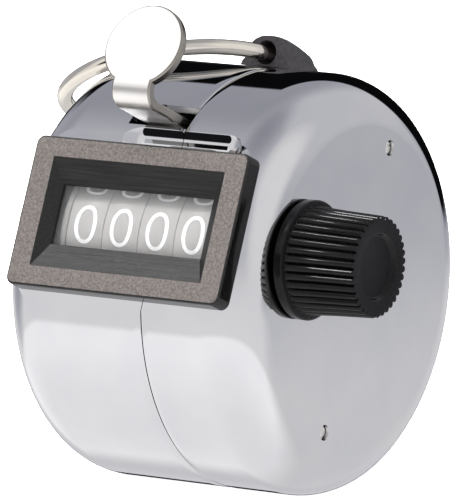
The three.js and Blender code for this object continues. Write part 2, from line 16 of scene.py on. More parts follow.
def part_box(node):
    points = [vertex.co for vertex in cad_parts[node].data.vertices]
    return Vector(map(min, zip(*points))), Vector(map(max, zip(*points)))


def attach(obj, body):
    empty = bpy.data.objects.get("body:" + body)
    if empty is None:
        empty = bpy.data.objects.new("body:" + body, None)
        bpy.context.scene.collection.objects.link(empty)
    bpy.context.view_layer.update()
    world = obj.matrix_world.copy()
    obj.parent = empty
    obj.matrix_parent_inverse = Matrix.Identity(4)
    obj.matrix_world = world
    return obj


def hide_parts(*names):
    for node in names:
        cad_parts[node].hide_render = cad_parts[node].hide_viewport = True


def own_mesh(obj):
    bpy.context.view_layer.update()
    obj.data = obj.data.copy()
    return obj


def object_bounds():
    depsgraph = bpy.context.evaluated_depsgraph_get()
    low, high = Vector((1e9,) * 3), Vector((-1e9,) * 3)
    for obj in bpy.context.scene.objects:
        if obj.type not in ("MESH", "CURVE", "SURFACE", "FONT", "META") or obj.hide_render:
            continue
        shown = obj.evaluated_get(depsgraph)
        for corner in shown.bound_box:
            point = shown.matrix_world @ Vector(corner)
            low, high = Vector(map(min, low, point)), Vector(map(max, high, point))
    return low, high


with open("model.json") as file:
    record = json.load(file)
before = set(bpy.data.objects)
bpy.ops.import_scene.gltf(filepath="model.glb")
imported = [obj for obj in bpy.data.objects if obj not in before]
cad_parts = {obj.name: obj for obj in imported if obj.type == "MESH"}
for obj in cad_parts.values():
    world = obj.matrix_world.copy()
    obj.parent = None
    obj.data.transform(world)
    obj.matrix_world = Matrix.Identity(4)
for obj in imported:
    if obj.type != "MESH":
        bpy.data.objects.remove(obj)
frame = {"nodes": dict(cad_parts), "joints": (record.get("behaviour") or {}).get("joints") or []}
CAD_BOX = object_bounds()
MM = 0.001


# ---------------------------------------------------------------- sizes taken from the frame
def low(node):
    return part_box(node)[0] / MM


def high(node):
    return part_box(node)[1] / MM


def centre(node):
    return (low(node) + high(node)) / 2


def joint(name):
    return next(j for j in frame["joints"] if j["name"] == name)


DRUM_R = high("left_shell").z
DRUM_W = high("right_shell").x
MID_X = DRUM_W / 2
SEAM_X = (high("left_shell").x + low("right_shell").x) / 2
FILLET = 5.6
WALL = 0.9
SEAM_GAP = 0.08
ROLL = 0.95
ROLL_RHO = 3.6
DOME = 0.03

TILT = math.radians(23)
FLAT_D = 20.35
BEZEL_X = centre("bezel").x
BEZEL_W = high("bezel").x - low("bezel").x
BEZEL_H = 16.3
BEZEL_BACK = 20.5
BEZEL_FRONT = 22.7
BEZEL_CORNER = 0.9

SHAFT = centre("wheel_shaft")
WHEEL_R = (high("wheel_units").z - low("wheel_units").z) / 2
WHEELS = ["wheel_units", "wheel_tens", "wheel_hundreds", "wheel_thousands"]
RODS = ("tie_rod_upper", "tie_rod_lower")

RING_AXIS = Vector(joint("ring_swing")["axis"]).normalized()
RING_POS = Vector(joint("ring_swing")["pos_m"]) / MM
RING_CENTRE = centre("finger_ring")

WINDOW = Matrix(((1, 0, 0, BEZEL_X),
                 (0, math.sin(TILT), -math.cos(TILT), 0),
                 (0, math.cos(TILT), math.sin(TILT), 0),
                 (0, 0, 0, 1)))
LUG_TILT = math.radians(12)
LUG_Y = 5.95
LUG_Z = 21.9
LUG = Matrix(((1, 0, 0, MID_X),
              (0, math.cos(LUG_TILT), math.sin(LUG_TILT), LUG_Y),
              (0, -math.sin(LUG_TILT), math.cos(LUG_TILT), LUG_Z),
              (0, 0, 0, 1)))
# Frames for prism(): an outline drawn in Y and Z pushed along X, and one drawn in X and Z.
YZX = Matrix(((0, 0, 1, 0), (1, 0, 0, 0), (0, 1, 0, 0), (0, 0, 0, 1)))
XZY = Matrix(((1, 0, 0, 0), (0, 0, -1, 0), (0, 1, 0, 0), (0, 0, 0, 1)))


# ---------------------------------------------------------------- mesh helpers
def make(name, verts, faces, matrix=None):
    """A mesh object from points in millimetres."""
    mesh = bpy.data.meshes.new(name)
    if matrix is not None:
        verts = [matrix @ Vector(v) for v in verts]
    mesh.from_pydata([Vector(v) * MM for v in verts], [], faces)
    mesh.validate()
    obj = bpy.data.objects.new(name, mesh)
    bpy.context.scene.collection.objects.link(obj)
    orient(mesh)
    return obj


def orient(mesh):
    bm = bmesh.new()
    bm.from_mesh(mesh)
    bmesh.ops.remove_doubles(bm, verts=bm.verts, dist=1e-8)
    bmesh.ops.recalc_face_normals(bm, faces=bm.faces)
    bm.to_mesh(mesh)
    bm.free()


def smooth(obj, angle=35):
    obj.data.polygons.foreach_set("use_smooth", [True] * len(obj.data.polygons))
    obj.data.set_sharp_from_angle(angle=math.radians(angle))
    return obj


def revolve(name, profile, segments, y=0.0, z=0.0, shape=None):
    """Turns [(radius, x), ...] round a line parallel to X.

    shape(radius, x, angle) may change the radius.
    """
    verts, rings = [], []
    for r, x in profile:
        if r < 1e-6:
            rings.append([len(verts)])
            verts.append((x, y, z))
            continue
        ring = []
        for i in range(segments):
            a = 2 * math.pi * i / segments
            rr = shape(r, x, a) if shape else r
            ring.append(len(verts))
            verts.append((x, y + rr * math.cos(a), z + rr * math.sin(a)))
        rings.append(ring)
    faces = []
    closed = profile[0][0] > 1e-6
    pairs = list(zip(rings, rings[1:]))
    if closed:
        pairs.append((rings[-1], rings[0]))
    for a, b in pairs:
        for i in range(segments):
            j = (i + 1) % segments
            if len(a) == 1:
                faces.append((a[0], b[j], b[i]))
            elif len(b) == 1:
                faces.append((a[i], a[j], b[0]))
            else:
                faces.append((a[i], a[j], b[j], b[i]))
    return make(name, verts, faces)


def loft(name, loops, matrix=None, closed=True):
    """Joins equal loops of points with quads.

    closed joins the last loop to the first; otherwise both ends are capped.
    """
    count = len(loops[0])
    verts = [p for loop in loops for p in loop]
    faces = []
    for k in range(len(loops) if closed else len(loops) - 1):
        a, b = k * count, ((k + 1) % len(loops)) * count
        for i in range(count):
            j = (i + 1) % count
            faces.append((a + i, a + j, b + j, b + i))
    if not closed:
        faces.append(tuple(reversed(range(count))))
        faces.append(tuple(range((len(loops) - 1) * count, len(loops) * count)))
    return make(name, verts, faces, matrix)


def rounded_rect(w, h, r, d, steps=8):
    points = []
    for cx, cy, start in ((1, 1, 0), (-1, 1, 90), (-1, -1, 180), (1, -1, 270)):
        for i in range(steps + 1):
            a = math.radians(start + 90 * i / steps)
            points.append((cx * (w / 2 - r) + r * math.cos(a), cy * (h / 2 - r) + r * math.sin(a), d))
    return points


def arc(cx, cy, r, a0, a1, steps):
    return [(cx + r * math.cos(math.radians(a0 + (a1 - a0) * i / steps)),
             cy + r * math.sin(math.radians(a0 + (a1 - a0) * i / steps))) for i in range(steps + 1)]


def prism(name, outline, low_h, high_h, basis):
    """Pushes an outline of (u, v) points from low_h to high_h; basis turns (u, v, h) into the row frame."""
    loops = [[(u, v, h) for u, v in outline] for h in (low_h, high_h)]
    return loft(name, loops, basis, closed=False)


def weighted(obj, angle):
    """Shades flat faces flat and only the narrow edge rounds as rounds."""
    smooth(obj, angle)
    modifier = obj.modifiers.new("normals", "WEIGHTED_NORMAL")
    modifier.keep_sharp = True
    modifier.weight = 100
    apply_modifiers(obj)
    return obj


def boolean(obj, cutters, operation="DIFFERENCE"):
    for cutter in cutters:
        modifier = obj.modifiers.new("cut", "BOOLEAN")
        modifier.object = cutter
        modifier.operation = operation
        modifier.solver = "MANIFOLD"
    bpy.context.view_layer.update()
    evaluated = obj.evaluated_get(bpy.context.evaluated_depsgraph_get())
    mesh = bpy.data.meshes.new_from_object(evaluated)
    obj.modifiers.clear()
    obj.data = mesh
    for cutter in cutters:
        bpy.data.objects.remove(cutter)
    return obj


def bevel(obj, width, segments, angle):
    modifier = obj.modifiers.new("edges", "BEVEL")
    modifier.width = width * MM
    modifier.segments = segments
    modifier.limit_method = "ANGLE"
    modifier.angle_limit = math.radians(angle)
    return obj


def apply_modifiers(obj):
    bpy.context.view_layer.update()
    mesh = bpy.data.meshes.new_from_object(obj.evaluated_get(bpy.context.evaluated_depsgraph_get()))
    obj.modifiers.clear()
    obj.data = mesh
    return obj


# ---------------------------------------------------------------- materials
class Nodes:
    """Short hand for building one material's node tree."""

    def __init__(self, name):
        self.material = bpy.data.materials.new(name)
        self.material.use_nodes = True
        self.tree = self.material.node_tree
        self.shader = self.tree.nodes["Principled BSDF"]
        self.coords = self.tree.nodes.new("ShaderNodeTexCoord").outputs["Object"]

    def set(self, **values):
        for key, value in values.items():
            self.shader.inputs[key.replace("_", " ")].default_value = value
        return self

    def link(self, a, b):
        self.tree.links.new(a, b)

    def noise(self, scale, detail=2.0, stretch=None, roughness=0.5):
        node = self.tree.nodes.new("ShaderNodeTexNoise")
        node.inputs["Scale"].default_value = scale
        node.inputs["Detail"].default_value = detail
        node.inputs["Roughness"].default_value = roughness
        source = self.coords
        if stretch:
            mapping = self.tree.nodes.new("ShaderNodeMapping")
            mapping.inputs["Scale"].default_value = stretch
            self.link(self.coords, mapping.inputs["Vector"])
            source = mapping.outputs["Vector"]
        self.link(source, node.inputs["Vector"])
        return node.outputs["Fac"]

    def ramp(self, factor, stops):
        node = self.tree.nodes.new("ShaderNodeValToRGB")
        elements = node.color_ramp.elements
        while len(elements) < len(stops):
            elements.new(0.5)
        for element, (place, color) in zip(elements, stops):
            element.position = place
            element.color = (*color, 1)
        self.link(factor, node.inputs["Fac"])
        return node.outputs["Color"]

    def span(self, factor, low_value, high_value):
        node = self.tree.nodes.new("ShaderNodeMapRange")
        node.inputs["To Min"].default_value = low_value
        node.inputs["To Max"].default_value = high_value
        self.link(factor, node.inputs["Value"])
        return node.outputs["Result"]

    def color(self, output):
        self.link(output, self.shader.inputs["Base Color"])
        return self

    def rough(self, output):
        self.link(output, self.shader.inputs["Roughness"])
        return self

    def bump(self, height, strength, distance):
        node = self.tree.nodes.new("ShaderNodeBump")
        node.inputs["Strength"].default_value = strength
        node.inputs["Distance"].default_value = distance * MM
        self.link(height, node.inputs["Height"])
        previous = self.shader.inputs["Normal"].links
        if previous:
            self.link(previous[0].from_socket, node.inputs["Normal"])
        self.link(node.outputs["Normal"], self.shader.inputs["Normal"])
        return self


def metal(name, colors, rough, grain, bump, stretch=None):
    """colors and rough are the two ends between which a fine noise varies them."""
    n = Nodes(name).set(Metallic=1.0)
    n.color(n.ramp(n.noise(140, 3), [(0.3, colors[0]), (0.7, colors[1])]))
    n.rough(n.span(n.noise(90, 4, roughness=0.6), *rough))
    n.bump(n.noise(grain, 3, stretch), bump, 0.02)
    return n.material


def plastic(name, colors, rough, grain, bump, depth, stretch=None):
    n = Nodes(name)
    n.color(n.ramp(n.noise(grain, 3), [(0.35, colors[0]), (0.65, colors[1])]))
    n.rough(n.span(n.noise(220, 3), *rough))
    n.bump(n.noise(grain, 2, stretch), bump, depth)
    return n.material


def set_specular(material, level):
    material.node_tree.nodes["Principled BSDF"].inputs["Specular IOR Level"].default_value = level


SATIN_FULL_Z = 22.2
SATIN_NONE_Z = 23.4
SATIN_ROUGH = 0.2


def satin_below_pad(material):
    """Makes the lever's bend satin and leaves its pad polished."""
    tree = material.node_tree
    rough = tree.nodes["Principled BSDF"].inputs["Roughness"]
    split = tree.nodes.new("ShaderNodeSeparateXYZ")
    tree.links.new(tree.nodes["Texture Coordinate"].outputs["Object"], split.inputs[0])
    extra = tree.nodes.new("ShaderNodeMapRange")
    extra.interpolation_type = "SMOOTHSTEP"
    extra.inputs["From Min"].default_value = SATIN_FULL_Z * MM
    extra.inputs["From Max"].default_value = SATIN_NONE_Z * MM
    extra.inputs["To Min"].default_value = SATIN_ROUGH
    extra.inputs["To Max"].default_value = 0.0
    tree.links.new(split.outputs["Z"], extra.inputs["Value"])
    both = tree.nodes.new("ShaderNodeMath")
    both.operation = "ADD"
    tree.links.new(rough.links[0].from_socket, both.inputs[0])
    tree.links.new(extra.outputs["Result"], both.inputs[1])
    tree.links.new(both.outputs[0], rough)


TURNED = (6, 1, 1)
ROLLED = (1, 6, 1)
LINES_ALONG_X = (0.02, 1, 1)


def make_metals():
    return {
        "chrome": metal("chrome", ((0.60, 0.605, 0.625), (0.64, 0.64, 0.655)), (0.02, 0.05), 500, 0.004),
        "lever": metal("polished_nickel", ((0.82, 0.80, 0.775), (0.88, 0.865, 0.84)), (0.13, 0.18),
                       700, 0.01),
        # A darker metal for the lever's edge faces: painted shade that draws the rim as a line.
        "edge_painted_shade": metal("lever_edge_painted_shade", ((0.30, 0.28, 0.25), (0.46, 0.43, 0.39)), (0.2, 0.3),
                          1400, 0.04),
        "ring": metal("ring_nickel", ((0.70, 0.66, 0.59), (0.78, 0.74, 0.66)), (0.08, 0.15), 900, 0.02),
        "steel": metal("turned_steel", ((0.45, 0.45, 0.45), (0.6, 0.6, 0.6)), (0.2, 0.32),
                       1500, 0.08, TURNED),
        "rod": metal("rod_steel", ((0.7, 0.68, 0.64), (0.82, 0.8, 0.76)), (0.25, 0.35),
                     1500, 0.05, TURNED),
        "plate": metal("plate_steel", ((0.4, 0.41, 0.42), (0.52, 0.53, 0.54)), (0.3, 0.42),
                       1200, 0.08, ROLLED),
        "spring": metal("spring_steel", ((0.4, 0.4, 0.41), (0.52, 0.52, 0.53)), (0.22, 0.3), 1500, 0.04),
        "brass": metal("brass", ((0.62, 0.47, 0.2), (0.74, 0.58, 0.27)), (0.22, 0.35), 1500, 0.06, TURNED),
    }


def make_recess_painted_shade():
    """The window's splayed walls: black with fine lines along X, and a colour far darker than the bezel's
    face though they are the same plastic, which is painted shade.
    """
    n = Nodes("bezel_recess")
    lines = n.noise(7000, 2, LINES_ALONG_X)
    n.color(n.ramp(lines, [(0.3, (0.003, 0.003, 0.004)), (0.7, (0.014, 0.013, 0.0125))]))
    n.set(Specular_IOR_Level=0.3)
    n.rough(n.span(n.noise(1800, 2), 0.4, 0.55))
    n.bump(lines, 0.7, 0.05)
    return n.material


def make_plastics():
    made = {
        # One plastic in three colours: the bezel's face is lighter, partly as painted sheen; its recess walls
        # are darker, as painted shade; the recess's top wall is lighter than the other walls, as painted
        # light.
        "bezel": plastic("bezel_face", ((0.062, 0.053, 0.048), (0.125, 0.109, 0.1)), (0.5, 0.62),
                         4200, 0.5, 0.04),
        "recess": make_recess_painted_shade(),
        # Lighter than the other recess walls: painted light on the recess's top wall.
        "top_wall_painted_light": plastic("bezel_recess_top", ((0.06, 0.057, 0.055), (0.14, 0.132, 0.125)),
                              (0.4, 0.55), 7000, 0.5, 0.04, LINES_ALONG_X),
        "knob": plastic("knob_plastic", ((0.0025, 0.0024, 0.0026), (0.0045, 0.0042, 0.0045)),
                        (0.16, 0.22), 1500, 0.05, 0.02),
        "knob_end": plastic("knob_end", ((0.0025, 0.0025, 0.0035), (0.005, 0.005, 0.0065)),
                            (0.5, 0.6), 3000, 0.15, 0.02),
        "lug": plastic("lug_plastic", ((0.014, 0.012, 0.0145), (0.038, 0.033, 0.037)), (0.42, 0.55),
                       3200, 0.3, 0.03),
        "wheel": plastic("wheel_plastic", ((0.25, 0.24, 0.23), (0.28, 0.27, 0.26)), (0.35, 0.5),
                         700, 0.05, 0.02),
        "numeral": plastic("numeral_white", ((0.62, 0.62, 0.62), (0.7, 0.7, 0.7)), (0.4, 0.5),
                           900, 0.05, 0.02),
    }
    set_specular(made["knob"], 0.18)
    set_specular(made["knob_end"], 0.12)
    return made


def make_lens():
    n = Nodes("clear_window").set(IOR=1.49, Alpha=0.08)
    n.color(n.ramp(n.noise(60, 2), [(0.3, (0.45, 0.46, 0.46)), (0.7, (0.52, 0.53, 0.53))]))
    n.rough(n.span(n.noise(90, 3), 0.02, 0.05))
    return n.material


MAT = {**make_metals(), **make_plastics(), "lens": make_lens()}
satin_below_pad(MAT["lever"])


def finish_piece(obj, material, body, slot, *replaced):
    obj.data.materials.clear()
    obj.data.materials.append(MAT[material])
    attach(obj, body)
    if replaced:
        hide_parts(*replaced)
    return obj


# ---------------------------------------------------------------- drum halves
def end_profile(inset, flip, steps):
    """Flat end and fillet, from the axis to the barrel, as (radius, x)."""
    fillet, radius = FILLET - inset, DRUM_R - inset
    points = [(0.0, inset), (radius - fillet, inset)]
    for i in range(1, steps + 1):
        a = math.pi / 2 * i / steps
        points.append((radius - fillet + fillet * math.sin(a), inset + fillet * (1 - math.cos(a))))
    return [(r, DRUM_W - x if flip else x) for r, x in points]


def half_solid(name, flip):
    """One half of the drum as a full solid, its edge at the seam rolled in a little."""
    edge = SEAM_X + (SEAM_GAP / 2 if flip else -SEAM_GAP / 2)
    way = 1 if flip else -1
    points = end_profile(0.0, flip, 20)
    for i in range(9):
        d = ROLL * (1 - i / 8)
        points.append((DRUM_R - (ROLL - d) ** 2 / (2 * ROLL_RHO), edge + way * d))
    points[-1] = (points[-1][0] - 0.06, points[-1][1])
    points.append((0.0, edge))
    return revolve(name, points, 288)


def far_box(distance):
    """All that lies beyond the plane parallel to the window at this distance from the axis."""
    return prism("flat", rounded_rect_2d(60, 60), distance, distance + 20, WINDOW)


def rounded_rect_2d(w, h, r=0.5):
    return [(x, y) for x, y, _ in rounded_rect(w, h, r, 0, 4)]


HOLLOW_X = SEAM_X + 0.4
HOLLOW_ANGLE = math.radians(44.9)
HOLLOW_AT = DRUM_R + 2.2
HOLLOW_R = 3.4
HOLLOW_HALF = 5.2


def hollow(grow):
    """Capsule along X that stamps the oval hollow."""
    r = HOLLOW_R + grow
    profile = [(0.0, HOLLOW_X - HOLLOW_HALF - r)]
    for i in range(1, 17):
        a = math.pi / 2 * i / 16
        profile.append((r * math.sin(a), HOLLOW_X - HOLLOW_HALF - r * math.cos(a)))
    profile += [(rr, 2 * HOLLOW_X - x) for rr, x in reversed(profile)]
    y, z = -math.cos(HOLLOW_ANGLE) * HOLLOW_AT, math.sin(HOLLOW_ANGLE) * HOLLOW_AT
    return revolve("hollow", profile, 96, y, z)


SLOT_FROM = math.radians(52.0)
SLOT_TO = math.radians(60.6)
SLOT_LEFT = MID_X - 4.2


def slot_cutter():
    corners = ((SLOT_FROM, 18), (SLOT_FROM, 25), (SLOT_TO, 25), (SLOT_TO, 18))
    outline = [(-math.cos(a) * r, math.sin(a) * r) for a, r in corners]
    return prism("slot", outline, SLOT_LEFT, SEAM_X + 0.4, YZX)


def inner_void():
    profile = end_profile(WALL, False, 12) + list(reversed(end_profile(WALL, True, 12)))
    void = revolve("void", profile, 144)
    return boolean(void, [far_box(FLAT_D - WALL), hollow(0.8)])


# Beyond these x the window's flat is shaded like the round and the fillet.
FLAT_LEFT = 3
FLAT_RIGHT = 28


def drum_normals(obj):
    """Shading normals for the drum. Not all of them are the mesh's own.

    Exact on the round, the fillets and the stamped hollow, and the mesh's own inside. On the
    window's flat they are those of the round at the flat's two edges, so the strips beside the
    bezel shade as round although they are flat. At the seam they roll in, and on the right
    end they lean out a little, as on a shallow dome, although that end is flat.
    """
    mesh = obj.data
    count = len(mesh.loops)
    index = np.empty(count, np.int64)
    mesh.loops.foreach_get("vertex_index", index)
    co = np.empty(len(mesh.vertices) * 3)
    mesh.vertices.foreach_get("co", co)
    co = co.reshape(-1, 3) / MM
    flat = np.empty(len(mesh.polygons) * 3)
    mesh.polygons.foreach_get("normal", flat)
    middle = np.empty(len(mesh.polygons) * 3)
    mesh.polygons.foreach_get("center", middle)
    flat, middle = flat.reshape(-1, 3), middle.reshape(-1, 3) / MM
    totals = np.empty(len(mesh.polygons), np.int64)
    mesh.polygons.foreach_get("loop_total", totals)
    owner = np.repeat(np.arange(len(mesh.polygons)), totals)

    def outer(p):
        r = np.hypot(p[:, 1], p[:, 2])
        out = np.zeros_like(p)
        radial = p[:, 1:] / np.maximum(r, 1e-9)[:, None]
        out[:, 1:] = radial
        for end, way in ((0.0, -1.0), (DRUM_W, 1.0)):
            depth = np.abs(p[:, 0] - end)
            near = depth < FILLET
            a = np.stack([way * (FILLET - depth), r - (DRUM_R - FILLET)], 1)
            a[:, 1] = np.maximum(a[:, 1], 0 if way < 0 else DOME * FILLET)
            a /= np.maximum(np.linalg.norm(a, axis=1), 1e-9)[:, None]
            out[near, 0] = a[near, 0]
            out[near, 1:] = radial[near] * a[near, 1:2]
        for way in (-1.0, 1.0):
            edge = SEAM_X + way * SEAM_GAP / 2
            depth = (p[:, 0] - edge) * way
            near = (depth < ROLL) & (depth > -0.01)
            out[near, 0] = -way * (ROLL - depth[near]) / ROLL_RHO
        return out / np.linalg.norm(out, axis=1)[:, None]

    def stamped(p):
        axis_y, axis_z = -math.cos(HOLLOW_ANGLE) * HOLLOW_AT, math.sin(HOLLOW_ANGLE) * HOLLOW_AT
        x = np.clip(p[:, 0], HOLLOW_X - HOLLOW_HALF, HOLLOW_X + HOLLOW_HALF)
        away = p - np.stack([x, np.full_like(x, axis_y), np.full_like(x, axis_z)], 1)
        size = np.linalg.norm(away, axis=1)
        return -away / size[:, None], size

    normals = flat[owner].copy()
    good_outer = (outer(middle) * flat).sum(1) > 0.985
    ring = np.hypot(middle[:, 1], middle[:, 2])
    from_end = np.minimum(middle[:, 0], DRUM_W - middle[:, 0])
    good_outer &= (ring > DRUM_R - WALL * 0.6) | (from_end < FILLET)
    good_outer &= ~((from_end > WALL * 0.6) & (ring < DRUM_R - FILLET))
    dent, size = stamped(middle)
    good_dent = ((dent * flat).sum(1) > 0.97) & (np.abs(size - HOLLOW_R) < 0.1)
    good_outer &= ~good_dent
    normals[good_outer[owner]] = outer(co[index])[good_outer[owner]]
    normals[good_dent[owner]] = stamped(co[index])[0][good_dent[owner]]
    facing = (flat @ np.array([0.0, -math.cos(TILT), math.sin(TILT)]) > 0.999)[owner]
    half = math.acos(FLAT_D / DRUM_R)
    up = co[index] @ np.array([0.0, math.sin(TILT), math.cos(TILT)])
    for side, chosen in ((-1, facing & (up < 0)), (1, facing & (up > 0))):
        normals[chosen] = (0.0, -math.cos(TILT + side * half), math.sin(TILT + side * half))
    ends = facing & ((co[index][:, 0] < FLAT_LEFT) | (co[index][:, 0] > FLAT_RIGHT))
    normals[ends] = outer(co[index])[ends]
    flank = (flat[:, 0] > 0.999) & (middle[:, 0] > DRUM_W - 0.01)
    corners = flank[owner]
    normals[corners, 1:] = co[index][corners, 1:] * DOME / (DRUM_R - FILLET)
    mesh.polygons.foreach_set("use_smooth", [True] * len(mesh.polygons))
    mesh.normals_split_custom_set([tuple(v) for v in normals])


def drum_half(name, flip, cutters):
    half = half_solid(name, flip)
    boolean(half, [far_box(FLAT_D), hollow(0)])
    boolean(half, [inner_void()])
    boolean(half, cutters)
    drum_normals(half)
    return half


OPENING_W = 20.2
OPENING_H = 9.8
SHAFT_HOLE_R = 2.1
ROD_HOLE_R = 0.84


def window_cut():
    return prism("opening", rounded_rect_2d(OPENING_W, OPENING_H, 0.8), 12, 30, WINDOW)


def end_hole(r, at):
    """A round hole through the drum's right end."""
    x0, x1 = DRUM_W - 3, DRUM_W + 2
    return revolve("hole", [(0, x0), (r, x0), (r, x1), (0, x1)], 48, at.y, at.z)


def build_drum():
    lug_stud = prism("stud_hole", arc(0, 2.6, 1.25, 0, 354, 59), -6, 3, LUG)
    left = drum_half("drum_left", False, [window_cut(), slot_cutter(), lug_stud])
    finish_piece(left, "chrome", "housing", "chrome_shell", "left_shell")
    holes = [end_hole(SHAFT_HOLE_R, SHAFT)] + [end_hole(ROD_HOLE_R, centre(rod)) for rod in RODS]
    right = drum_half("drum_right", True, [window_cut(), *holes])
    finish_piece(right, "chrome", "housing", "chrome_shell", "right_shell")


# ---------------------------------------------------------------- bezel and window
RIM_W = 21.5
RIM_H = 11.95
PANE_W = 18.8
PANE_H = 6.5
REBATE_W = 20.5
REBATE_H = 8.7
REBATE_TOP = 21.34
LENS_W = 20.2
LENS_H = 8.4
LENS_BACK = 20.9
LENS_FRONT = 21.28


def build_bezel():
    """A frame whose recess runs in from the rim to the pane's edge, and the lens behind it."""
    loops = [
        rounded_rect(BEZEL_W, BEZEL_H, BEZEL_CORNER, BEZEL_BACK),
        rounded_rect(BEZEL_W, BEZEL_H, BEZEL_CORNER, BEZEL_FRONT - 0.22),
        rounded_rect(BEZEL_W - 0.13, BEZEL_H - 0.13, BEZEL_CORNER - 0.05, BEZEL_FRONT - 0.07),
        rounded_rect(BEZEL_W - 0.44, BEZEL_H - 0.44, BEZEL_CORNER - 0.2, BEZEL_FRONT),
        rounded_rect(RIM_W, RIM_H, 0.12, BEZEL_FRONT),
        rounded_rect(RIM_W - 0.14, RIM_H - 0.14, 0.1, BEZEL_FRONT - 0.05),
        rounded_rect(PANE_W + 0.1, PANE_H + 0.1, 0.1, REBATE_TOP + 0.36),
        rounded_rect(PANE_W, PANE_H, 0.08, REBATE_TOP + 0.28),
        rounded_rect(PANE_W, PANE_H, 0.08, REBATE_TOP),
        rounded_rect(REBATE_W, REBATE_H, 0.3, REBATE_TOP),
        rounded_rect(REBATE_W, REBATE_H, 0.3, BEZEL_BACK),
    ]
    bezel = weighted(loft("bezel_frame", loops, WINDOW), 40)
    finish_piece(bezel, "bezel", "housing", "black_bezel", "bezel")
    for extra in ("recess", "knob", "top_wall_painted_light"):
        bezel.data.materials.append(MAT[extra])
    # The bezel is one plastic shaded by colour: the front faces keep the face colour, the large outer walls
    # get the knob's near-black as painted shade, the recess's top wall a lighter colour as painted light, and
    # the other recess walls the darker recess colour as painted shade.
    plain, recess, outer_wall_painted_shade, top_wall_painted_light = range(4)
    front = Vector((0, -math.cos(TILT), math.sin(TILT)))
    for face in bezel.data.polygons:
        facing = face.normal.dot(front)
        large = face.area > 8 * MM * MM
        if facing > 0.985:
            face.material_index = plain
        elif abs(facing) < 0.3 and large:
            face.material_index = outer_wall_painted_shade
        elif face.normal.z < -0.3 and large:
            face.material_index = top_wall_painted_light
        else:
            face.material_index = recess
    lens_loops = [
        rounded_rect(LENS_W - 0.2, LENS_H - 0.2, 0.35, LENS_BACK),
        rounded_rect(LENS_W, LENS_H, 0.4, LENS_BACK + 0.08),
        rounded_rect(LENS_W, LENS_H, 0.4, LENS_FRONT - 0.08),
        rounded_rect(LENS_W - 0.2, LENS_H - 0.2, 0.35, LENS_FRONT),
    ]
    lens = smooth(loft("window_glass", lens_loops, WINDOW, closed=False), 30)
    finish_piece(lens, "lens", "housing", "clear_window", "window_lens")


# ---------------------------------------------------------------- number wheels
DIGIT_H = 4.15
DIGIT_W = 2.75
DIGIT_DROP = 0.5
DIGIT_RISE = 0.03
# The built-in font's g serves as the 9 and, turned round, as the 6.
FIGURES = "012345g78g"
TURNED_FIGURE = 6
BORE_R = 1.7


def digit_outline(text):
    """Flat mesh of one figure, scaled to the numeral's size and centred."""
    curve = bpy.data.curves.new("figure", "FONT")
    curve.body = text
    curve.size = 1.0
    curve.resolution_u = 6
    curve.offset = -0.014
    obj = bpy.data.objects.new("figure", curve)
    bpy.context.scene.collection.objects.link(obj)
    bpy.context.view_layer.update()
    mesh = bpy.data.meshes.new_from_object(obj.evaluated_get(bpy.context.evaluated_depsgraph_get()))
    bpy.data.objects.remove(obj)
    bm = bmesh.new()
    bm.from_mesh(mesh)
    bmesh.ops.remove_doubles(bm, verts=bm.verts, dist=1e-5)
    xs = [v.co.x for v in bm.verts]
    ys = [v.co.y for v in bm.verts]
    width = DIGIT_W * (0.5 if text == "1" else 1.0)
    for v in bm.verts:
        v.co.x = ((v.co.x - min(xs)) / (max(xs) - min(xs)) - 0.5) * width
        v.co.y = ((v.co.y - min(ys)) / (max(ys) - min(ys)) - 0.5) * DIGIT_H
    for i in range(1, 10):
        y = DIGIT_H * (i / 10 - 0.5)
        geometry = bm.verts[:] + bm.edges[:] + bm.faces[:]
        bmesh.ops.bisect_plane(bm, geom=geometry, plane_co=(0, y, 0), plane_no=(0, 1, 0))
    bmesh.ops.triangulate(bm, faces=bm.faces)
    bm.verts.ensure_lookup_table()
    verts = [tuple(v.co) for v in bm.verts]
    faces = [tuple(v.index for v in f.verts) for f in bm.faces]
    edges = [tuple(v.index for v in e.verts) for e in bm.edges if len(e.link_faces) == 1]
    bm.free()
    return verts, faces, edges


def wrap(x, arc_length, radius, turn):
    """Point on the wheel's round: arc_length is measured up the front from the window's middle."""
    a = TILT + turn + (arc_length - DIGIT_DROP) / WHEEL_R
    return (x, SHAFT.y - radius * math.cos(a), SHAFT.z + radius * math.sin(a))


def build_rods():
    for name in RODS:
        x0, x1, at = low(name).x, high(name).x, centre(name)
        profile = [(0, x0), (0.55, x0), (0.74, x0 + 0.15), (0.74, x1 - 0.12), (0.66, x1 - 0.04),
                   (0.4, x1), (0, x1 + 0.02)]
        rod = smooth(revolve(name + "_turned", profile, 48, at.y, at.z))
        finish_piece(rod, "rod", "housing", "turned_steel", name)


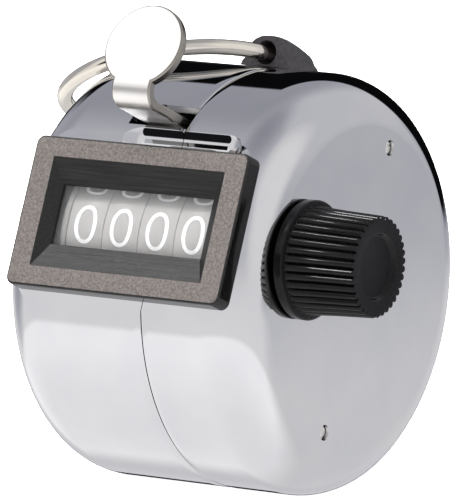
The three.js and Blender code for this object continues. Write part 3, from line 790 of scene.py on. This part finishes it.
def build_wheels():
    edge = 0.12
    a, b = low("wheel_end_disc").x, high("wheel_end_disc").x
    profile = [(BORE_R, a), (WHEEL_R - edge, a), (WHEEL_R, a + edge), (WHEEL_R, b - edge),
               (WHEEL_R - edge, b), (BORE_R, b)]
    disc = smooth(revolve("end_disc", profile, 160, SHAFT.y, SHAFT.z))
    finish_piece(disc, "wheel", "reset", "wheel_plastic", "wheel_end_disc")
    build_rods()
    figures = [digit_outline(mark) for mark in FIGURES]
    for node in WHEELS:
        body = node.replace("wheel_", "")
        a, b = low(node).x - 0.14, high(node).x + 0.14
        profile = [(BORE_R, a), (WHEEL_R - edge, a), (WHEEL_R - edge * 0.3, a + edge * 0.3),
                   (WHEEL_R, a + edge), (WHEEL_R, b - edge), (WHEEL_R - edge * 0.3, b - edge * 0.3),
                   (WHEEL_R - edge, b), (WHEEL_R - 1, b), (WHEEL_R - 1, a + 1.2), (3.0, a + 1.2),
                   (3.0, b), (BORE_R, b)]
        wheel = smooth(revolve("number_" + node, profile, 160, SHAFT.y, SHAFT.z))
        finish_piece(wheel, "wheel", body, "wheel_plastic", node)
        verts, faces = [], []
        for n, (points, tris, rim) in enumerate(figures):
            if n == TURNED_FIGURE:
                points = [(-x, -y, z) for x, y, z in points]
            turn = math.radians(-36) * n
            base = len(verts)
            under = base + len(points)
            for radius in (WHEEL_R + DIGIT_RISE, WHEEL_R - DIGIT_RISE):
                verts += [wrap((a + b) / 2 + x, y, radius, turn) for x, y, _ in points]
            faces += [tuple(base + i for i in f) for f in tris]
            faces += [tuple(under + i for i in reversed(f)) for f in tris]
            faces += [(base + i, base + j, under + j, under + i) for i, j in rim]
        numerals = smooth(make("numerals_" + body, verts, faces))
        finish_piece(numerals, "numeral", body, "wheel_plastic")


# ---------------------------------------------------------------- knob
KNOB_X0 = low("reset_knob").x
KNOB_X1 = high("reset_knob").x
KNOB_R = 5.32
KNOB_BASE_R = (high("reset_knob").z - low("reset_knob").z) / 2
RIBS = 36
RIB_DEPTH = 0.5
KNOB_BORE_R = 1.68
KNOB_BORE_END = KNOB_X1 - 2.4
DISH_DEPTH = 0.56


def build_knob():
    """Round base, tapered ribbed grip and a dished end; the bore for the shaft is blind."""
    x0, x1 = KNOB_X0, KNOB_X1

    def ribbed(r, x, angle):
        if r < KNOB_R - 0.6 or x < x0 + 1.2:
            return r
        return r - RIB_DEPTH * (1 - abs(math.cos(RIBS / 2 * angle)) ** 0.7)

    bore = [(0.0, KNOB_BORE_END), (KNOB_BORE_R, KNOB_BORE_END), (KNOB_BORE_R, x0)]
    base = [(KNOB_BASE_R - 0.15, x0), (KNOB_BASE_R, x0 + 0.15), (KNOB_BASE_R, x0 + 0.95),
            (KNOB_BASE_R - 0.15, x0 + 1.05)]
    grip = [(5.72, x0 + 1.12), (5.7, x0 + 1.3), (5.5, x0 + 4.5), (KNOB_R, x1 - 0.08), (KNOB_R - 0.08, x1)]
    dish = [(3.55, x1), (3.47, x1 - 0.05), (3.3, x1 - 0.5), (3.2, x1 - DISH_DEPTH), (0.0, x1 - DISH_DEPTH)]
    knob = revolve("knob", bore + base + grip + dish, RIBS * 10, SHAFT.y, SHAFT.z, ribbed)
    weighted(knob, 42)
    finish_piece(knob, "knob", "reset", "knob_plastic", "reset_knob")
    knob.data.materials.append(MAT["knob_end"])
    for face in knob.data.polygons:
        face.material_index = 1 if face.normal.x > 0.9 else 0


# ---------------------------------------------------------------- lever
LEVER_T = 1.1
LEVER_W = 4.7
PAD_R = 4.65
LEVER_TILT = math.radians(31.5)
TAIL_ANGLE = math.radians(156.4)
BEND_R = 2.2
EYE_R = 2.35
EYE_BORE_R = 1.78
# Points as (y, z) in the row frame, on the lever's middle plane.
PAD = Vector((-17.29, 26.71))
PIVOT = Vector((joint("lever_press")["pos_m"][1] / MM, joint("lever_press")["pos_m"][2] / MM))


def build_lever():
    """A flat blank, disc and strip in one, bent round and run down to the pivot."""
    pad_dir = Vector((math.sin(LEVER_TILT), math.cos(LEVER_TILT)))
    tail_dir = Vector((math.cos(TAIL_ANGLE), math.sin(TAIL_ANGLE)))
    inward = Vector((pad_dir.y, -pad_dir.x))
    mid_r = BEND_R - LEVER_T / 2
    start = PAD + inward * LEVER_T / 2
    across = pad_dir.x * tail_dir.y - pad_dir.y * tail_dir.x
    between = PIVOT - start
    corner = start + pad_dir * ((between.x * tail_dir.y - between.y * tail_dir.x) / across)
    half = math.acos(pad_dir.dot(-tail_dir)) / 2
    setback = mid_r / math.tan(half)
    straight = (start - corner).length - setback
    turn = math.pi - 2 * half
    bend_centre = corner + pad_dir * setback + inward * mid_r
    tail_length = (PIVOT - corner).length - setback - 1.7
    total = straight + turn * mid_r + tail_length

    def place(x, s, h):
        """s runs down the strip from the pad's centre, h to the outer face."""
        if s < straight:
            p, n = start - pad_dir * s, -inward
        elif s < straight + turn * mid_r:
            a = (s - straight) / mid_r
            n = Vector((-inward.x * math.cos(a) - pad_dir.x * math.sin(a),
                        -inward.y * math.cos(a) - pad_dir.y * math.sin(a)))
            p = bend_centre + n * mid_r
        else:
            n = Vector((-inward.x * math.cos(turn) - pad_dir.x * math.sin(turn),
                        -inward.y * math.cos(turn) - pad_dir.y * math.sin(turn)))
            p = bend_centre + n * mid_r - tail_dir * (s - straight - turn * mid_r)
        p = p + n * h
        return (MID_X + x, p.x, p.y)

    w = LEVER_W / 2
    notch = math.degrees(math.asin(w / PAD_R))
    outline = arc(0, 0, PAD_R, 90 + notch, 450 - notch, 96) + [(w, total), (-w, total)]
    edge, face_h = 0.2, LEVER_T / 2
    steps = ((edge, -face_h), (edge * 0.3, -face_h + edge * 0.3), (0, -face_h + edge),
             (0, face_h - edge), (edge * 0.3, face_h - edge * 0.3), (edge, face_h))
    loops = [[(*inset_point(p, inset, w, total), h) for p in outline] for inset, h in steps]
    obj = loft("lever_plate", loops, None, closed=False)
    bm = bmesh.new()
    bm.from_mesh(obj.data)
    bm.normal_update()
    for face in bm.faces:
        # Edge faces take the darker edge metal: painted shade along the rim.
        face.material_index = 0 if abs(face.normal.z) > 0.95 else 1
    cuts = [straight + turn * mid_r * i / 14 for i in range(15)]
    for s in cuts:
        geometry = bm.verts[:] + bm.edges[:] + bm.faces[:]
        bmesh.ops.bisect_plane(bm, geom=geometry, plane_co=(0, s * MM, 0), plane_no=(0, 1, 0))
    for v in bm.verts:
        x, s, h = v.co / MM
        v.co = Vector(place(x, s, h)) * MM
    bmesh.ops.recalc_face_normals(bm, faces=bm.faces)
    bm.to_mesh(obj.data)
    bm.free()
    weighted(obj, 15)
    marks = [face.material_index for face in obj.data.polygons]
    finish_piece(obj, "lever", "lever", "lever_nickel", "thumb_lever")
    obj.data.materials.append(MAT["edge_painted_shade"])
    obj.data.polygons.foreach_set("material_index", marks)
    hub = [(EYE_BORE_R, -w), (EYE_R - 0.1, -w), (EYE_R, -w + 0.1), (EYE_R, w - 0.1), (EYE_R - 0.1, w),
           (EYE_BORE_R, w)]
    eye = smooth(revolve("lever_eye", [(r, MID_X + x) for r, x in hub], 64, PIVOT.x, PIVOT.y))
    finish_piece(eye, "lever", "lever", "lever_nickel")


def inset_point(p, inset, w, total):
    """Moves an outline point of the blank inwards by inset."""
    x, y = p
    if y > total - 1e-6:
        return (math.copysign(w - inset, x), y)
    r = math.hypot(x, y)
    x, y = x * (r - inset) / r, y * (r - inset) / r
    if y > 0 and abs(x) < w:
        x = math.copysign(w - inset, x)
    return (x, y)


# ---------------------------------------------------------------- ring and lug
RING_WIRE_R = 0.85
# A little under the CAD ring's 12.5, so that its mesh stays inside the CAD box.
RING_R = 12.48


def build_ring():
    reach = RING_CENTRE - RING_POS
    reach -= RING_AXIS * reach.dot(RING_AXIS)
    u = reach.normalized()
    normal = RING_AXIS.cross(u)
    loops = []
    for i in range(192):
        a = 2 * math.pi * i / 192
        out = u * math.cos(a) + RING_AXIS * math.sin(a)
        c = RING_CENTRE + out * RING_R
        loop = []
        for k in range(28):
            b = 2 * math.pi * k / 28
            loop.append(c + out * (RING_WIRE_R * math.cos(b)) + normal * (RING_WIRE_R * math.sin(b)))
        loops.append(loop)
    ring = smooth(loft("ring_wire", loops))
    finish_piece(ring, "ring", "ring", "ring_nickel", "finger_ring")


def quadratic(p0, p1, p2, steps):
    return [tuple((1 - t) ** 2 * a + 2 * t * (1 - t) * b + t * t * c for a, b, c in zip(p0, p1, p2))
            for t in (i / steps for i in range(1, steps + 1))]


def build_lug():
    side = [(0, 0), (6.1, 0), (6.1, 0.35)]
    side += quadratic((6.1, 0.35), (5.9, 1.3), (5.1, 1.75), 8)
    side += [(1.3, 3.35)]
    side += quadratic((1.3, 3.35), (0.7, 3.45), (0, 3.3), 6)
    front = [(-3.05, 0), (3.05, 0), (2.9, 0.5), (2.55, 0.85), (2.45, 1.5)]
    front += quadratic((2.45, 1.5), (2.1, 3.3), (0.2, 3.4), 12)
    front += quadratic((0.2, 3.4), (-1.9, 3.3), (-2.45, 1.5), 12)
    front += [(-2.55, 0.85), (-2.9, 0.5)]
    body = prism("lug", side, -4, 4, LUG @ YZX)
    cross = prism("lug_front", front, -6.6, 0.4, LUG @ XZY)
    boolean(body, [cross], "INTERSECT")
    u = Vector((1, 0, 0))
    v = RING_AXIS.cross(u)
    basis = Matrix.Identity(4)
    for column, axis in enumerate((u, v, RING_AXIS)):
        for row in range(3):
            basis[row][column] = axis[row]
    basis.translation = RING_POS
    boolean(body, [prism("bore", arc(0, 0, 1.3, 0, 352.5, 47), -9, 9, basis)])
    bevel(body, 0.13, 3, 38)
    apply_modifiers(body)
    weighted(body, 50)
    finish_piece(body, "lug", "housing", "lug_plastic", "ring_lug")
    stud = prism("lug_stud", arc(0, 2.6, 1.05, 0, 352, 44), -2.6, 0.15, LUG)
    finish_piece(smooth(stud), "lug", "housing", "lug_plastic")


# ---------------------------------------------------------------- return spring
SPRING_WIRE_R = 0.25
SPRING_TURNS = 5


def build_spring():
    """Coil under the rocker's ear."""
    foot, top, at = low("return_spring"), high("return_spring"), centre("return_spring")
    coil = (top.x - foot.x) / 2 - SPRING_WIRE_R
    length = top.z - foot.z - 2 * SPRING_WIRE_R
    steps = SPRING_TURNS * 32
    loops = []
    for i in range(steps + 1):
        a = 2 * math.pi * SPRING_TURNS * i / steps
        out = Vector((math.cos(a), math.sin(a), 0))
        c = Vector((at.x, at.y, foot.z + SPRING_WIRE_R + length * i / steps)) + out * coil
        loop = []
        for k in range(12):
            b = 2 * math.pi * k / 12
            loop.append(c + out * (SPRING_WIRE_R * math.cos(b)) + Vector((0, 0, SPRING_WIRE_R * math.sin(b))))
        loops.append(loop)
    spring = smooth(loft("return_spring_coil", loops, None, closed=False))
    finish_piece(spring, "spring", "housing", "spring_steel", "return_spring")
    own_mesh(spring)


# ---------------------------------------------------------------- pieces kept from the CAD model
KEPT = {
    "steel": ["wheel_shaft", "pinion_shaft", "lever_pin", "pawl_pin", "detent_post"],
    "plate": ["left_plate", "right_plate", "lever_rocker", "drive_pawl", "lug_washer", "shaft_clip"],
    "brass": ["ratchet_wheel", "transfer_pinion_a", "transfer_pinion_b", "transfer_pinion_c"],
    "spring": ["detent_spring"],
}


def dress_kept_nodes():
    for material, nodes in KEPT.items():
        for name in nodes:
            node = frame["nodes"][name]
            node.data.materials.clear()
            node.data.materials.append(MAT[material])


# ---------------------------------------------------------------- studio
CAMERA_AZ = math.radians(33.255)
CAMERA_EL = math.radians(9.066)
CAMERA_FAR = 705.7
FOCAL_PX = 6600.6
FRAME_H = 500
AIM_SIDE = -0.692
AIM_UP = 2.735


def build_camera():
    back = Vector((math.sin(CAMERA_AZ) * math.cos(CAMERA_EL),
                   -math.cos(CAMERA_AZ) * math.cos(CAMERA_EL),
                   math.sin(CAMERA_EL)))
    side = Vector((math.cos(CAMERA_AZ), math.sin(CAMERA_AZ), 0))
    up = back.cross(side)
    target = Vector((MID_X, 0, 0)) + side * AIM_SIDE + up * AIM_UP
    data = bpy.data.cameras.new("camera")
    data.sensor_width = 36
    data.lens = FOCAL_PX * data.sensor_width / FRAME_H
    data.clip_start, data.clip_end = 0.01, 20
    camera = bpy.data.objects.new("camera", data)
    bpy.context.scene.collection.objects.link(camera)
    camera.location = (target + back * CAMERA_FAR) * MM
    camera.rotation_mode = "QUATERNION"
    camera.rotation_quaternion = back.to_track_quat("Z", "Y")
    bpy.context.scene.camera = camera


def build_floor():
    size = 4000
    z = CAD_BOX[0].z / MM - 0.1
    corners = [(-size, -size, z), (size, -size, z), (size, size, z), (-size, size, z)]
    floor = make("floor", corners, [(0, 1, 2, 3)])
    n = Nodes("pale_floor").set(Roughness=0.9)
    n.color(n.ramp(n.noise(3, 2), [(0.3, (0.93, 0.93, 0.93)), (0.7, (0.95, 0.95, 0.95))]))
    n.set(Emission_Color=(1, 1, 1, 1), Emission_Strength=0.6)
    floor.data.materials.append(n.material)
    floor.visible_glossy = False


BEHIND = (-0.5416, 0.8258, -0.1576)


class Sky:
    """World light by direction: a ramp over the height, then soft-edged patches painted over it."""

    def __init__(self):
        world = bpy.data.worlds.new("studio")
        bpy.context.scene.world = world
        world.use_nodes = True
        self.tree = world.node_tree
        self.background = self.tree.nodes["Background"]
        self.way = self.tree.nodes.new("ShaderNodeTexCoord").outputs["Generated"]
        split = self.tree.nodes.new("ShaderNodeSeparateXYZ")
        self.tree.links.new(self.way, split.inputs[0])
        self.height = split.outputs["Z"]
        self.side = split.outputs["X"]
        self.value = None

    def step(self, source, start, end):
        """0 before start, 1 after end, smooth between."""
        node = self.tree.nodes.new("ShaderNodeMapRange")
        node.interpolation_type = "SMOOTHSTEP"
        node.inputs["From Min"].default_value = start
        node.inputs["From Max"].default_value = end
        self.tree.links.new(source, node.inputs["Value"])
        return node.outputs["Result"]

    def product(self, *masks):
        result = masks[0]
        for mask in masks[1:]:
            node = self.tree.nodes.new("ShaderNodeMath")
            node.operation = "MULTIPLY"
            self.tree.links.new(result, node.inputs[0])
            self.tree.links.new(mask, node.inputs[1])
            result = node.outputs[0]
        return result

    def near(self, direction, outer, inner):
        """1 within inner degrees of the direction, 0 beyond outer degrees."""
        node = self.tree.nodes.new("ShaderNodeVectorMath")
        node.operation = "DOT_PRODUCT"
        self.tree.links.new(self.way, node.inputs[0])
        node.inputs[1].default_value = Vector(direction).normalized()
        return self.step(node.outputs["Value"], math.cos(math.radians(outer)), math.cos(math.radians(inner)))

    def ramp(self, stops):
        node = self.tree.nodes.new("ShaderNodeFloatCurve")
        curve = node.mapping.curves[0]
        shift = self.step_linear(self.height)
        points = [((z + 1) / 2, level / 2) for z, level in stops]
        curve.points[0].location, curve.points[1].location = points[0], points[-1]
        for point in points[1:-1]:
            curve.points.new(*point)
        for point in curve.points:
            point.handle_type = "VECTOR"
        node.mapping.update()
        self.tree.links.new(shift, node.inputs["Value"])
        double = self.tree.nodes.new("ShaderNodeMath")
        double.operation = "MULTIPLY"
        double.inputs[1].default_value = 2
        self.tree.links.new(node.outputs["Value"], double.inputs[0])
        self.value = double.outputs[0]

    def step_linear(self, source):
        node = self.tree.nodes.new("ShaderNodeMapRange")
        node.inputs["From Min"].default_value = -1
        node.inputs["From Max"].default_value = 1
        self.tree.links.new(source, node.inputs["Value"])
        return node.outputs["Result"]

    def paint(self, mask, level):
        node = self.tree.nodes.new("ShaderNodeMix")
        self.tree.links.new(mask, node.inputs["Factor"])
        self.tree.links.new(self.value, node.inputs["A"])
        node.inputs["B"].default_value = level
        self.value = node.outputs["Result"]

    def finish(self):
        tint = self.tree.nodes.new("ShaderNodeValToRGB")
        first, last = tint.color_ramp.elements
        first.position, first.color = 0.35, (0.93, 0.95, 1.07, 1)
        last.position, last.color = 0.9, (1.0, 0.992, 1.0, 1)
        self.tree.links.new(self.value, tint.inputs["Fac"])
        self.tree.links.new(tint.outputs["Color"], self.background.inputs["Color"])
        self.tree.links.new(self.value, self.background.inputs["Strength"])


SKY_RAMP = [(-1.0, 1.12), (-0.84, 1.14), (-0.5, 1.3), (-0.37, 1.3), (-0.33, 1.02), (-0.1, 1.0),
            (0.0, 0.95), (0.2, 0.75), (0.5, 0.72), (0.84, 0.72), (1.0, 0.4)]


def build_world():
    """The ramp over the height and fourteen soft patches, painted in this order.

    They were placed by the directions that the polished parts reflect towards the main
    camera, and their levels set against the photo's tones. So the light is fitted
    to that one view, and other views see the patches in other places.
    """
    sky = Sky()
    sky.ramp(SKY_RAMP)
    sky.paint(sky.near((0.1, 1.0, -0.3), 62, 40), 0.86)
    sky.paint(sky.near((-0.5, 0.8, -0.4), 34, 12), 0.75)
    back_right = sky.product(sky.near((0.45, 0.9, 0.0), 50, 30), sky.step(sky.height, -0.20, -0.12))
    sky.paint(back_right, 0.56)
    sky.paint(sky.near((0.45, 0.75, 0.5), 45, 22), 0.75)
    sky.paint(sky.near((0.88, 0.08, 0.45), 36, 14), 1.0)
    sky.paint(sky.near((-0.62, 0.62, 0.6), 48, 18), 0.44)
    sky.paint(sky.near((-0.97, 0.1, 0.15), 35, 15), 0.5)
    sky.paint(sky.near((-0.54, -0.69, 0.45), 34, 20), 0.98)
    # Seen in the hollow's walls, then in the lever's pad, then the one bright softbox.
    sky.paint(sky.near((-0.54, -0.838, 0.05), 13, 11), 0.012)
    sky.paint(sky.near((-0.54, -0.516, 0.664), 15, 11), 1.12)
    sky.paint(sky.near((-0.47, -0.29, 0.835), 6.5, 5.5), 52.0)
    # The dark card behind the counter, its grey border first.
    edge = sky.product(sky.near(BEHIND, 50, 48), sky.step(sky.height, -0.16, -0.12),
                       sky.step(sky.height, 0.15, 0.05))
    sky.paint(edge, 0.56)
    card = sky.product(sky.near(BEHIND, 45.8, 44), sky.step(sky.height, -0.13, -0.09),
                       sky.step(sky.side, -0.82, -0.72))
    sky.paint(card, 0.004)
    sky.paint(sky.near(BEHIND, 15, 12), 0.02)
    sky.finish()


def area_light(name, place, size, power, target=(0.0158, 0, 0)):
    data = bpy.data.lights.new(name, "AREA")
    data.shape = "DISK"
    data.size = size
    data.energy = power
    light = bpy.data.objects.new(name, data)
    light.location = place
    way = Vector(place) - Vector(target)
    light.rotation_mode = "QUATERNION"
    light.rotation_quaternion = way.to_track_quat("Z", "Y")
    bpy.context.scene.collection.objects.link(light)
    return light


build_camera()
build_floor()
build_world()
top = area_light("top", (-0.1, -0.25, 1.0), 1.2, 18.0)
top.visible_glossy = False
build_drum()
build_bezel()
build_wheels()
build_knob()
build_lever()
build_ring()
build_lug()
build_spring()
dress_kept_nodes()
bpy.context.scene.view_settings.view_transform = "Standard"
